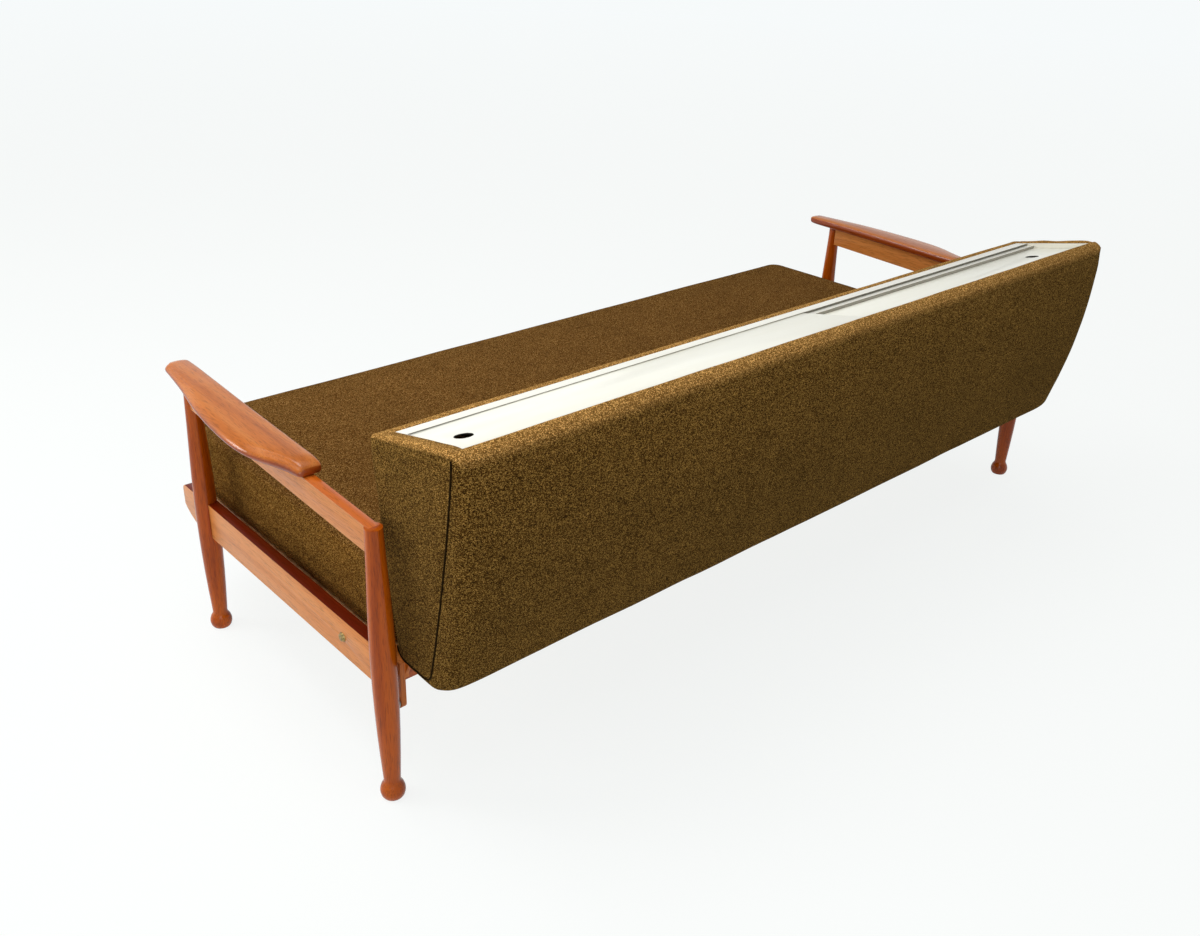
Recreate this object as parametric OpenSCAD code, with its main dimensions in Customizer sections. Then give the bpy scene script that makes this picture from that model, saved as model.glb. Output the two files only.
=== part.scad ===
// Sofa that turns into a single bed, drawn as a bed with its back down behind the seat.
// Millimetres, +Z up, +Y to the rear, +X to the left arm, origin on the floor below the middle.

/* [Seat] */
// half of the mattress length
mattress_half = 934; // [900:1:1000]
// front edge of the mattress
mattress_front = -494; // [-520:1:-460]
// rear edge of the mattress
mattress_rear = 278; // [260:1:284]
// underside of the mattress
mattress_low = 250; // [240:1:260]
// height of the mattress edge above the floor
mattress_top = 404; // [380:1:420]
// extra height of the mattress in its middle
crown = 8; // [0:1:15]
// thickness of the boards of the seat frame
base_board = 22; // [16:1:30]
// underside of the seat frame
base_low = 206; // [190:1:215]
// thickness of the deck under the mattress
deck = 14; // [9:1:20]

/* [Arm frames] */
// height of the rear leg's top
leg_top = 520; // [500:1:560]
// how much higher the upper rail is at the front leg
arm_rise = 24; // [0:1:40]
// front leg top, front to back
front_leg_y = -319; // [-340:1:-300]
// rear leg top, front to back
rear_leg_y = 316; // [310:1:340]
// thickness of the lower side rails
rail_thick = 22; // [18:1:26]
// how far a lower side rail stands out beyond the middle of its legs
rail_over = 5; // [2:1:8]
// underside of the lower side rails
rail_low = 219; // [210:1:225]
// height of the lower side rails
rail_high = 75; // [60:1:90]
// front end of the lower side rails
rail_front = -417; // [-450:1:-390]
// thickness of the upper side rails
upper_thick = 20; // [16:1:24]
// height of the upper side rails
upper_high = 47; // [40:1:55]
// thickness of an armrest
arm_thick = 24; // [20:1:30]

/* [Swing mechanism] */
// pivot of the link in the side rail, front to back
pivot_y = 201; // [190:1:210]
// height of that pivot
pivot_z = 257; // [250:1:270]
// pivot of the link in the hanger, front to back
hang_y = 311; // [308:1:315]
// height of that pivot
hang_z = 173; // [170:1:176]
// thickness of the steel links
link_thick = 4; // [3:0.5:5]
// width of the steel links at their eyes
link_wide = 22; // [20:1:26]
// radius of the pivot shanks
pin_r = 4; // [3:0.5:5]
// running clearance of a link on its shank
run = 0.05; // [0.02:0.01:0.1]
// clearance between a link and its hanger
link_gap = 0.7; // [0.5:0.1:1.5]
// room between a link and the side rail
side_gap = 6.3; // [5.5:0.1:9]
// thickness of the wooden hangers
hanger_thick = 10; // [8:0.5:11]
// width of the wooden hangers below the box
hanger_wide = 25; // [22:1:32]

/* [Back box] */
// how far each end of the box reaches past the mattress
box_over = 8; // [5:1:12]
// front top edge, front to back
top_y = 253; // [245:1:260]
// height of the front top edge
top_z = 640.5; // [620:0.5:660]
// width of the box top
top_wide = 227.2; // [215:0.1:240]
// slope of the box top, rising to the rear
top_slope = 12.84; // [8:0.01:16]
// front bottom edge, front to back
low_y = 306.5; // [304:0.5:310]
// rear bottom edge, front to back
low_rear_y = 397; // [385:1:410]
// height of the box underside at its ends
low_z = 254; // [252:1:262]
// thickness of the front and end covers
cover = 8; // [6:1:10]
// thickness of the rear and bottom cover at its seams
wrap = 6; // [5:1:9]
// thickness of the front board
front_thick = 20; // [16:1:24]
// thickness of the rear and bottom boards
thin_board = 9; // [6:1:12]
// thickness of the end panels
end_thick = 21; // [16:1:24]
// outward curve of the rear edge of the ends
swell = 7; // [0:1:12]
// padding of the rear and bottom cover, as a share of the full one
padding = 1; // [0.2:0.05:1.1]

/* [Lids] */
// thickness of a lid
lid = 3; // [2.5:0.5:4]
// clearance of a lid in its track
lid_gap = 0.3; // [0.2:0.05:0.5]
// length by which the two lids overlap
lid_lap = 62; // [40:1:120]
// radius of a finger hole
finger_r = 15; // [12:0.5:18]

/* [Hidden] */
$fn = 48;
// from the box out to the side rails and their legs
box_half = mattress_half + box_over;
rail_end = rear_leg_y + 14;
arm_slope = arm_rise / (rear_leg_y - front_leg_y);
rail_top = rail_low + rail_high;
hanger_out = box_half + hanger_thick;
link_in = hanger_out + link_gap;
link_out = link_in + link_thick;
rail_in = link_out + side_gap;
rail_out = rail_in + rail_thick;
leg_x = rail_out - rail_over;
upper_in = leg_x - upper_thick / 2;
pivot = [pivot_y, pivot_z];
hang = [hang_y, hang_z];
link_len = norm(hang - pivot);
link_ang = atan2(hang_z - pivot_z, hang_y - pivot_y);
link_neck = 2;
head_r = 7;
head_gap = 0.3;
// foot of a leg against its top: outwards, and to the rear for the front and the rear legs
foot_out = 1.6;
front_lean = -3;
rear_lean = 13.5;
// seat frame
base_half = mattress_half - 4;
base_front = mattress_front + 28;
deck_low = mattress_low - deck;
rear_rail_y = mattress_rear + 31;
rear_rail_high = 34;
bearer_x = base_half / 3;
cleat_low = rail_low - 3;
cleat_high = 30;
cleat_long = 90;
cleat_after = 30;
cleat_step = 243;
cleat_at = [for (k = [0, 1]) front_leg_y + cleat_after + k * cleat_step];
// box
box_in = box_half - cover;
panel_in = box_in - end_thick;
trim = 3;
track_half = panel_in - trim;
lid_half = track_half - 0.7;
rim_u = top_wide - 8;
seam_round = 24;
heel_round = 18;
crest_round = 5;
crest_inner = 6;
// tongue of a hanger: its thickness and its lower end above the pivot
tongue_deep = 7;
tongue_low = 50;
// screws of a hanger into the end panel: above its pivot
screw_back = 16;
screw_rise = [142, 109];
screw_at = [for (r = screw_rise) [hang_y + screw_back, hang_z + r]];
// tracks, in the box section: widths along the top and heights from it
strip_u = 59;
upper_u = 50;
ridge_u = 76;
lower_u = 62;
track_top = -1;
flange = 1.5;
slot_1 = track_top - flange;
ridge_top = slot_1 - lid - 2 * lid_gap;
slot_2 = ridge_top - 6.5;
floor_2 = slot_2 - lid - 2 * lid_gap;
track_low = floor_2 - 3.5;
rear_lap = 31.7;
rear_strip_u = top_wide - rear_lap;
rear_slot_u = rear_strip_u + 5.5;
rear_ledge_u = rear_strip_u - 12;
// finger holes: to the end of the lid and to the front of the box top
finger_left = [41, 148];
finger_right = [121, 137];
track_screw_u = 40;
track_screw_x = [for (k = [-2 : 2]) k * track_half * 0.485];

// flat geometry in the side view: x is front to back, y is height
function left(p, q) = [p.y - q.y, q.x - p.x] / norm(q - p);
function shift(p, q, d) = [p + d * left(p, q), q + d * left(p, q)];
function cross2(a, b) = a.x * b.y - a.y * b.x;
function meet(l, m) = l[0] + (l[1] - l[0])
  * cross2(m[0] - l[0], m[1] - m[0]) / cross2(l[1] - l[0], m[1] - m[0]);
// arc of radius r in the corner p-q-s
function round_at(p, q, s, r, n) = let (a = (p - q) / norm(p - q),
  b = (s - q) / norm(s - q), half = acos(a * b) / 2, t = r / tan(half),
  c = q + (a + b) / norm(a + b) * r / sin(half), v0 = q + a * t - c, v1 = q + b * t - c,
  a0 = atan2(v0.y, v0.x), d = ((atan2(v1.y, v1.x) - a0 + 540) % 360) - 180)
  [for (i = [0 : n]) c + r * [cos(a0 + d * i / n), sin(a0 + d * i / n)]];
// points between p and q on a line that swells out by s
function swollen(p, q, s, n) = [for (i = [1 : n - 1]) let (t = i / n)
  p + (q - p) * t - left(p, q) * 4 * s * t * (1 - t)];

// box section: point u along the top, w above it
function at(u, w) = [top_y + u * cos(top_slope) - w * sin(top_slope),
  top_z + u * sin(top_slope) + w * cos(top_slope)];
corner_a = at(0, 0);
corner_f = [low_y, low_z];
corner_g = [low_rear_y, low_z];
corner_b = at(top_wide, 0);
// section drawn in by its own distance at front, bottom, rear and top
function ring(df, db, dr, dt) = let (f = shift(corner_a, corner_f, df),
  b = shift(corner_f, corner_g, db), r = shift(corner_g, corner_b, dr),
  t = shift(corner_b, corner_a, dt)) [meet(t, f), meet(f, b), meet(b, r), meet(r, t)];
// rear and bottom line from the front bottom edge to the crest, with its swell
function back_line(k, rf, rg, rb, s) = let (g = round_at(k[1], k[2], k[3], rg, 4),
  b = round_at(k[2], k[3], k[0], rb, 4))
  concat(round_at(k[0], k[1], k[2], rf, 4), g, swollen(g[4], b[0], s, 8), b);
outer_back = back_line(ring(0, 0, 0, 0), seam_round, heel_round, crest_round, swell);
core = ring(cover, wrap, wrap, cover);
inner_back = back_line(core, seam_round - 7, heel_round - wrap, crest_inner, 0);
// line of the front board's inner face and of the rear board's, at height w
function plane_u(l, w) = let (m = meet(l, [at(0, w), at(100, w)]))
  (m - at(0, w)) * [cos(top_slope), sin(top_slope)];
function front_u(w) = plane_u(shift(corner_a, corner_f, cover + front_thick), w);
function rear_u(w) = plane_u(shift(corner_g, corner_b, wrap + thin_board), w);

module along_x(x0, x1) { translate([x0, 0, 0]) rotate([90, 0, 90]) linear_extrude(x1 - x0) children(); }
module rod_x(x0, x1, p, r) { translate([x0, p.x, p.y]) rotate([0, 90, 0]) cylinder(h = x1 - x0, r = r); }
module top_poly(pts) { polygon([for (p = pts) at(p.x, p.y)]); }
module both() {
  children();
  mirror([1, 0, 0]) children();
}

leg_profile = [[0, 0], [15.5, 0], [17, 1.5], [20, 6], [21.6, 12], [21.8, 16], [21.3, 20],
  [19.4, 26], [16.6, 31], [15, 34.5], [14.5, 38], [15.2, 50], [17.4, 90], [19.4, 135],
  [20.7, 180], [21.4, 220], [21.6, 255], [21.4, 300], [20.6, 345], [19.2, 390], [17.6, 430],
  [16, 475], [15, 510], [14.6, 522]];
function leg_line(top) = concat(leg_profile, [[14.6, top + 22], [0, top + 22]]);

// leg with its top at height top, which falls by slope to the rear, and its foot moved to the
// rear by lean
module leg_shape(y, top, lean, slope) {
  intersection() {
    translate([leg_x, y, top]) rotate([atan2(lean, top), 0, 0]) rotate([0, -atan2(foot_out, top), 0])
      translate([0, 0, -top - 2]) rotate_extrude() polygon(leg_line(top));
    along_x(leg_x - 60, leg_x + 60)
      polygon([[y - 80, 0], [y + 80, 0], [y + 80, top - 80 * slope], [y - 80, top + 80 * slope]]);
  }
}
module rear_leg_shape() { leg_shape(rear_leg_y, leg_top, rear_lean, 0); }
module front_leg_shape() { leg_shape(front_leg_y, leg_top + arm_rise, front_lean, arm_slope); }
module lower_rail_2d() {
  polygon(concat([[rail_front + 60, rail_low], [rail_end, rail_low], [rail_end, rail_top]],
    [for (a = [90 : 15 : 180]) [rail_front + 12 + 12 * cos(a), rail_top - 12 + 12 * sin(a)]],
    [[rail_front, rail_low + 30], [rail_front + 8, rail_low + 22], [rail_front + 22, rail_low + 13],
      [rail_front + 46, rail_low + 3]]));
}
module leg_notch() { along_x(rail_in - 20, rail_out) lower_rail_2d(); }
module rear_leg() {
  difference() {
    rear_leg_shape();
    leg_notch();
  }
}
module front_leg() {
  difference() {
    front_leg_shape();
    leg_notch();
  }
}
module lower_rail() {
  difference() {
    along_x(rail_in, rail_out) lower_rail_2d();
    rod_x(rail_in - 1, rail_out + 1, pivot, pin_r);
  }
}
module upper_rail() {
  high = leg_top + arm_rise;
  difference() {
    along_x(upper_in, upper_in + upper_thick) polygon([[front_leg_y, high], [front_leg_y, high - upper_high],
      [rear_leg_y, leg_top - upper_high], [rear_leg_y, leg_top]]);
    rear_leg_shape();
    front_leg_shape();
  }
}

// armrest stations from the front leg to the rear: place, inner and outer edge from the leg's
// plane, lift of the underside, thickness
stations = [[-73, -22, 11, 5, 12], [-70, -26, 15, 2, 16], [-63, -28, 19, 0.6, 19], [-47, -28.5, 21, 0, 20.5],
  [-11, -28, 26, 0, 22], [29, -27, 32, 0, 23], [74, -26, 40, 0, 24], [119, -25.5, 48, 0, 24],
  [169, -25, 54.5, 0, 24], [219, -24.5, 58.5, 0, 24], [269, -24.5, 60.5, 0, 24], [309, -24.5, 58.5, 0, 24],
  [334, -24.5, 54, 0, 24], [354, -24.5, 47.5, 0, 24], [374, -24.5, 38.5, 0, 24], [392, -24.5, 30, 0, 24],
  [410, -24.5, 23, 0, 24], [422, -25, 19, 0, 22.5], [432, -26, 15.5, 0, 19], [439, -27, 12.5, 0, 14.5],
  [442, -28, 9.5, 0, 10]];
// section of the armrest at one station: bevelled below, rounded above, slightly crowned
arm_section = [[-0.30, 0, 0], [0.30, 0, 0], [0.42, 0, 0.10], [0.5, 0, 0.38], [0.5, -0.5, 0.62],
  [0.5, -2.2, 0.84], [0.5, -6, 0.96], [0.30, 0, 1], [0.1, 0, 1.02], [-0.1, 0, 1.02], [-0.27, 0, 0.98],
  [-0.36, 0, 0.90], [-0.43, 0, 0.74], [-0.48, 0, 0.55], [-0.5, 0, 0.34], [-0.42, 0, 0.10]];
arm_full = 24;
function arm_base(y) = leg_top + arm_slope * (rear_leg_y - y);
// skin of a loft over n rings of m points, its caps facing out
function loft(m, n) = concat([[for (i = [m - 1 : -1 : 0]) i]], [[for (i = [0 : m - 1]) (n - 1) * m + i]],
  [for (j = [0 : n - 2]) for (i = [0 : m - 1]) [j * m + i, j * m + (i + 1) % m, (j + 1) * m + (i + 1) % m]],
  [for (j = [0 : n - 2]) for (i = [0 : m - 1]) [j * m + i, (j + 1) * m + (i + 1) % m, (j + 1) * m + i]]);
function flip(faces) = [for (f = faces) [for (i = [len(f) - 1 : -1 : 0]) f[i]]];
module armrest() {
  pts = [for (s = stations) let (y = front_leg_y + s[0], mid = (s[1] + s[2]) / 2, wide = s[2] - s[1])
    for (q = arm_section)
      [leg_x + mid + q[0] * wide + q[1], y, arm_base(y) + s[3] + q[2] * s[4] * arm_thick / arm_full]];
  polyhedron(pts, flip(loft(len(arm_section), len(stations))));
}

// mattress: rounded corners in plan, rounded edges, sides a little drawn in, crowned top;
// rings: distance from the outline, share of the side's height, share of the crown
plan_n = 13;
corner_round = 40;
rings = [[30, 0, 0], [10, 0.011, 0], [3, 0.051, 0], [0, 0.13, 0], [2, 0.37, 0], [3, 0.5, 0], [2, 0.66, 0],
  [0, 0.88, 0], [2.5, 0.945, 0], [8, 0.982, 0], [18, 1, 0], [60, 1, 0.33], [160, 1, 0.78], [290, 1, 1]];
function plan(d) = let (r = max(corner_round - d, 4), hx = mattress_half - d,
  y0 = mattress_front + d, y1 = mattress_rear - d)
  [for (c = [[1, y1, -1, 0], [-1, y1, -1, 90], [-1, y0, 1, 180], [1, y0, 1, 270]]) for (i = [0 : plan_n - 1])
    let (a = c[3] + 90 * i / (plan_n - 1)) [c[0] * (hx - r) + r * cos(a), c[1] + c[2] * r + r * sin(a)]];
module cushion() {
  high = mattress_top - mattress_low;
  pts = [for (q = rings) for (p = plan(q[0])) [p.x, p.y, mattress_low + q[1] * high + q[2] * crown]];
  polyhedron(pts, loft(4 * plan_n, len(rings)));
}

module base_end_shape() {
  translate([base_half - base_board, base_front, base_low])
    cube([base_board, rear_rail_y - base_board - base_front, deck_low - base_low]);
}
module bearer_shape() {
  translate([bearer_x, base_front + base_board, base_low])
    cube([base_board, rear_rail_y - base_front - 2 * base_board, deck_low - base_low]);
}
module cleats_shape() {
  for (y = cleat_at)
    translate([base_half, y, cleat_low]) cube([rail_in - base_half, cleat_long, cleat_high]);
}
module pivot_bolt() {
  rod_x(link_in - 3 - head_gap, link_in - head_gap, pivot, head_r);
  rod_x(link_in - head_gap, rail_out, pivot, pin_r);
  difference() {
    translate([rail_out, pivot_y, pivot_z]) rotate([0, 90, 0]) cylinder(h = 4, r1 = 9, r2 = 6.5);
    translate([rail_out + 3, pivot_y - 12, pivot_z - 0.9]) cube([3, 24, 1.8]);
  }
}
module spacer() {
  difference() {
    rod_x(link_out + head_gap, rail_in, pivot, head_r);
    rod_x(link_out - 1, rail_in + 1, pivot, pin_r);
  }
}
module link() {
  along_x(link_in, link_out) difference() {
    union() {
      translate(pivot) circle(link_wide / 2);
      translate(hang) circle(link_wide / 2);
      translate(pivot) rotate(link_ang)
        translate([0, link_neck - link_wide / 2]) square([link_len, link_wide - 2 * link_neck]);
    }
    translate(pivot) circle(pin_r + run);
    translate(hang) circle(pin_r + run);
  }
}
// a hanger is a plate below the box, with a tongue let into the end cover above it
module tongue_2d() {
  y0 = hang_y - hanger_wide / 2;
  y1 = hang_y + hanger_wide / 2;
  polygon([[y0, hang_z + tongue_low], [y1, hang_z + tongue_low], [y1, hang_z + 58], [y1 + 16, hang_z + 92],
    [y1 + 16, hang_z + 145], [y1 + 10, hang_z + 156], [y0 + 20, hang_z + 156], [y0 + 14, hang_z + 150],
    [y0 + 12, hang_z + 92], [y0, hang_z + 58]]);
}
module plate_2d() {
  difference() {
    union() {
      translate(hang) circle(hanger_wide / 2);
      translate(hang - [hanger_wide / 2, 0]) square([hanger_wide, low_z - hang_z + seam_round]);
    }
    end_2d();
  }
}
module tongue(deep) { along_x(box_half - tongue_deep, box_half + deep) tongue_2d(); }
module hanger_shape() {
  difference() {
    union() {
      along_x(box_half, hanger_out) plate_2d();
      tongue(0);
    }
    rod_x(box_half - tongue_deep - 1, hanger_out + 1, hang, pin_r);
    hanger_screw_pair(0);
  }
}
module hanger_bolt() {
  rod_x(box_half, link_out + head_gap, hang, pin_r);
  rod_x(link_out + head_gap, link_out + head_gap + 1, hang, head_r);
}
module hanger_screw_pair(head) {
  for (p = screw_at) {
    rod_x(panel_in + 4, box_half, p, 2.5);
    if (head > 0) rod_x(box_half, box_half + head, p, 5);
  }
}
module end_2d() {
  polygon(concat([corner_a], outer_back));
}
module core_2d() {
  polygon(concat([core[0]], inner_back));
}
module end_panel() {
  difference() {
    along_x(panel_in, box_in) core_2d();
    hanger_screw_pair(0);
  }
}
// boards of the box: what is left of the core in front of, behind and below the hollow
far = -60;
module front_2d() {
  difference() {
    core_2d();
    polygon(ring(cover + front_thick, far, far, far));
  }
}
module rear_2d() {
  difference() {
    core_2d();
    polygon(ring(far, far, wrap + thin_board, far));
  }
}
module bottom_2d() {
  difference() {
    intersection() {
      core_2d();
      polygon(ring(cover + front_thick, far, wrap + thin_board, far));
    }
    polygon(ring(far, wrap + thin_board, far, far));
  }
}
module end_cover() {
  difference() {
    union() {
      along_x(box_in, box_half) end_2d();
      along_x(panel_in, box_in)
        top_poly([[front_u(0), 0], [rim_u, 0], [rim_u, -cover], [front_u(-cover), -cover]]);
    }
    hanger_screw_pair(0);
    tongue(1);
  }
}

// padding of the rear and bottom cover: how far each point of its line moves to the rear and up
pads = [[0, 0], [0, -2], [1, -5], [3, -8], [6, -11],
  [22, -16], [32, -12], [40, -7], [45, -2], [47, 2],
  [47, 1], [47, 0], [46.5, 0], [43.5, 0], [39.5, 0], [34.5, 0], [26.5, 0],
  [14.5, -6], [10, -3.5], [6, -2], [2.5, -1], [0, 0]];
// share of that at a distance from the ends
pad_steps = [[0, 0], [2.5, 0.40], [8, 0.66], [18, 0.86], [34, 0.97], [60, 1]];
// its section starts high on the rear face
section_start = 17;
module soft_back() {
  m = len(outer_back);
  size = 2 * m + 2;
  places = concat([for (s = pad_steps) [s[0] - box_in, s[1]]],
    [for (j = [len(pad_steps) - 1 : -1 : 0]) [box_in - pad_steps[j][0], pad_steps[j][1]]]);
  pts = [for (s = places) let (line = concat([for (i = [0 : m - 1]) outer_back[i] + pads[i] * s[1] * padding],
      [at(rim_u, 0), at(rim_u, -cover)], [for (i = [m - 1 : -1 : 0]) inner_back[i]]))
    for (k = [0 : size - 1]) let (p = line[(k + section_start) % size]) [s[0], p.x, p.y]];
  polyhedron(pts, loft(size, len(places)));
}
module front_track_2d() {
  top_poly([[front_u(track_top), track_top], [strip_u, track_top], [strip_u, slot_1], [upper_u, slot_1],
    [upper_u, ridge_top], [ridge_u, ridge_top], [ridge_u, slot_2], [lower_u, slot_2], [lower_u, floor_2],
    [ridge_u, floor_2], [ridge_u, track_low], [front_u(track_low), track_low]]);
}
module rear_track_2d() {
  top_poly([[rear_strip_u, ridge_top], [rear_u(ridge_top), ridge_top], [rear_u(track_low), track_low],
    [rear_ledge_u, track_low], [rear_ledge_u, floor_2], [rear_slot_u, floor_2], [rear_slot_u, slot_2],
    [rear_strip_u, slot_2]]);
}
module trim_shape() {
  along_x(track_half, panel_in) top_poly([[front_u(track_top), track_top], [rim_u - 1, track_top],
    [rim_u - 1, ridge_top], [rear_u(ridge_top), ridge_top], [rear_u(track_low), track_low],
    [front_u(track_low), track_low]]);
}
module screws_shape() {
  p = at(track_screw_u, track_top);
  for (x = track_screw_x) translate([x, p.x, p.y]) rotate([top_slope, 0, 0]) {
    translate([0, 0, -2]) cylinder(h = 2, r1 = 1.5, r2 = 3.2);
    translate([0, 0, -10]) cylinder(h = 8, r = 1.5);
  }
}
// lid between two widths of the box top with its upper face at height high, hole at finger
module lid_shape(front, rear, high, finger) {
  p = at(finger.y, high);
  difference() {
    along_x(-lid_lap / 2, lid_half)
      top_poly([[front, high], [rear, high], [rear, high - lid], [front, high - lid]]);
    translate([lid_half - finger.x, p.x, p.y]) rotate([top_slope, 0, 0])
      translate([0, 0, -lid - 2]) cylinder(h = lid + 4, r = finger_r);
  }
}

module rear_leg_left() { color("sienna") rear_leg(); }
module rear_leg_right() { color("sienna") mirror([1, 0, 0]) rear_leg(); }
module front_leg_left() { color("sienna") front_leg(); }
module front_leg_right() { color("sienna") mirror([1, 0, 0]) front_leg(); }
module lower_rail_left() { color("chocolate") lower_rail(); }
module lower_rail_right() { color("chocolate") mirror([1, 0, 0]) lower_rail(); }
module upper_rail_left() { color("chocolate") upper_rail(); }
module upper_rail_right() { color("chocolate") mirror([1, 0, 0]) upper_rail(); }
module armrest_left() { color("sienna") armrest(); }
module armrest_right() { color("sienna") mirror([1, 0, 0]) armrest(); }
module base_front_rail() {
  color("peru") translate([base_board - base_half, base_front, base_low])
    cube([2 * (base_half - base_board), base_board, deck_low - base_low]);
}
module base_rear_rail() {
  color("chocolate") translate([-box_in, rear_rail_y - base_board, base_low])
    cube([2 * box_in, base_board, rear_rail_high]);
}
module base_end_left() { color("peru") base_end_shape(); }
module base_end_right() { color("peru") mirror([1, 0, 0]) base_end_shape(); }
module base_bearer_left() { color("peru") bearer_shape(); }
module base_bearer_right() { color("peru") mirror([1, 0, 0]) bearer_shape(); }
module base_deck() {
  color("peru") translate([-base_half, base_front - 6, deck_low])
    cube([2 * base_half, mattress_rear + 6 - base_front, deck]);
}
module side_cleats_left() { color("peru") cleats_shape(); }
module side_cleats_right() { color("peru") mirror([1, 0, 0]) cleats_shape(); }
module mattress() { color("olive") cushion(); }
module pivot_bolts() { color("goldenrod") both() pivot_bolt(); }
module pivot_spacers() { color("dimgray") both() spacer(); }
module link_left() { color("dimgray") link(); }
module link_right() { color("dimgray") mirror([1, 0, 0]) link(); }
module hanger_left() { color("chocolate") hanger_shape(); }
module hanger_right() { color("chocolate") mirror([1, 0, 0]) hanger_shape(); }
module hanger_bolts() { color("dimgray") both() hanger_bolt(); }
module hanger_screws() { color("dimgray") both() hanger_screw_pair(0.5); }
module box_front_board() { color("burlywood") along_x(-panel_in, panel_in) front_2d(); }
module box_rear_board() { color("burlywood") along_x(-panel_in, panel_in) rear_2d(); }
module box_bottom_board() { color("burlywood") along_x(-panel_in, panel_in) bottom_2d(); }
module box_end_left() { color("burlywood") end_panel(); }
module box_end_right() { color("burlywood") mirror([1, 0, 0]) end_panel(); }
module front_cover() {
  color("olive") along_x(-box_in, box_in) polygon([corner_a, outer_back[0], inner_back[0],
    core[0], at(front_u(-cover), -cover), at(front_u(0), 0)]);
}
module rear_cover() { color("olive") soft_back(); }
module end_cover_left() { color("olive") end_cover(); }
module end_cover_right() { color("olive") mirror([1, 0, 0]) end_cover(); }
module front_track() {
  color("white") difference() {
    along_x(-track_half, track_half) front_track_2d();
    screws_shape();
  }
}
module rear_track() { color("white") along_x(-track_half, track_half) rear_track_2d(); }
module end_trim_left() { color("white") trim_shape(); }
module end_trim_right() { color("white") mirror([1, 0, 0]) trim_shape(); }
module track_screws() { color("silver") screws_shape(); }
module lid_left() {
  color("white") lid_shape(upper_u + 2, rim_u - 0.4, slot_1 - lid_gap, finger_left);
}
module lid_right() {
  color("white") mirror([1, 0, 0]) lid_shape(lower_u + 2, rear_slot_u - 1, slot_2 - lid_gap, finger_right);
}

rear_leg_left();
rear_leg_right();
front_leg_left();
front_leg_right();
lower_rail_left();
lower_rail_right();
upper_rail_left();
upper_rail_right();
armrest_left();
armrest_right();
base_front_rail();
base_rear_rail();
base_end_left();
base_end_right();
base_bearer_left();
base_bearer_right();
base_deck();
side_cleats_left();
side_cleats_right();
mattress();
pivot_bolts();
pivot_spacers();
link_left();
link_right();
hanger_left();
hanger_right();
hanger_bolts();
hanger_screws();
box_front_board();
box_rear_board();
box_bottom_board();
box_end_left();
box_end_right();
front_cover();
rear_cover();
end_cover_left();
end_cover_right();
front_track();
rear_track();
end_trim_left();
end_trim_right();
track_screws();
lid_left();
lid_right();
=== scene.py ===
"""Sofa that turns into a single bed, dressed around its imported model."""
import math

import bmesh
import bpy
import numpy as np
from mathutils import Matrix, Vector, noise


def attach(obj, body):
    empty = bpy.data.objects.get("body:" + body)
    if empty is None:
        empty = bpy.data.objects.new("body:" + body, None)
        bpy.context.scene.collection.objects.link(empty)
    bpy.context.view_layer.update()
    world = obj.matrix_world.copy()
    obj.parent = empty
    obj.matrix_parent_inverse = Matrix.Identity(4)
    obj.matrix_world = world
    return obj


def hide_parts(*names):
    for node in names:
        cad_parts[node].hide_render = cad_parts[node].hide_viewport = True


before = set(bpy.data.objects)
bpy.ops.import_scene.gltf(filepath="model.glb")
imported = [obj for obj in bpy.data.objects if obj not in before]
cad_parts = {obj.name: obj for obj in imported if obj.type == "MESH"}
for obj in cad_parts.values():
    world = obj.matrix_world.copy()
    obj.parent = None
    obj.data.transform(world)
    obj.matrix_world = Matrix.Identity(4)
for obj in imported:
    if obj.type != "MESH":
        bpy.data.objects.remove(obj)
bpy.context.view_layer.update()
MM = 0.001

# sizes of the part's source, in millimetres
# half widths: box over its end covers, inside them, and inside its end panels
BOX_HALF = 942.0
BOX_IN = 934.0
PANEL_IN = 913.0
# box section: front top corner, width and slope of the top, front and rear of the bottom
TOP_Y, TOP_Z, TOP_WIDE, TOP_SLOPE = 253.0, 640.5, 227.2, math.radians(12.84)
LOW_Y, LOW_REAR_Y, LOW_Z = 306.5, 397.0, 254.0
# thickness of the front and end covers, and of the rear and bottom one
COVER, WRAP = 8.0, 6.0
# radii of the section's corners: front bottom, rear bottom and crest
SEAM_ROUND, HEEL_ROUND, CREST_ROUND = 24.0, 18.0, 5.0
# radii on the inside of the rear and bottom cover: front bottom and crest
SEAM_INNER, CREST_INNER = 17.0, 6.0
# bulge of the rear face
SWELL = 7.0
# places along the box's top where the covers' rims end, at the rear and at the front
RIM_U, FRONT_U = 219.2, 28.0
# mattress: half width, front, rear, underside, edge of the top and the crown above it
MATTRESS_HALF, MATTRESS_FRONT, MATTRESS_REAR = 934.0, -494.0, 278.0
MATTRESS_LOW, MATTRESS_TOP, CROWN = 250.0, 404.0, 8.0
# top of the rear legs, and how much higher the front ones carry the armrests
LEG_X, LEG_TOP, ARM_RISE, FRONT_LEG_Y, REAR_LEG_Y = 980.0, 520.0, 24.0, -319.0, 316.0


# materials
def linear(c):
    """Linear value of one sRGB value given in 0 to 255."""
    return ((c / 255 + 0.055) / 1.055) ** 2.4 if c > 10 else c / 255 / 12.92


def srgb(r, g, b):
    """Linear colour of an sRGB one given in 0 to 255."""
    return linear(r), linear(g), linear(b), 1.0


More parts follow.
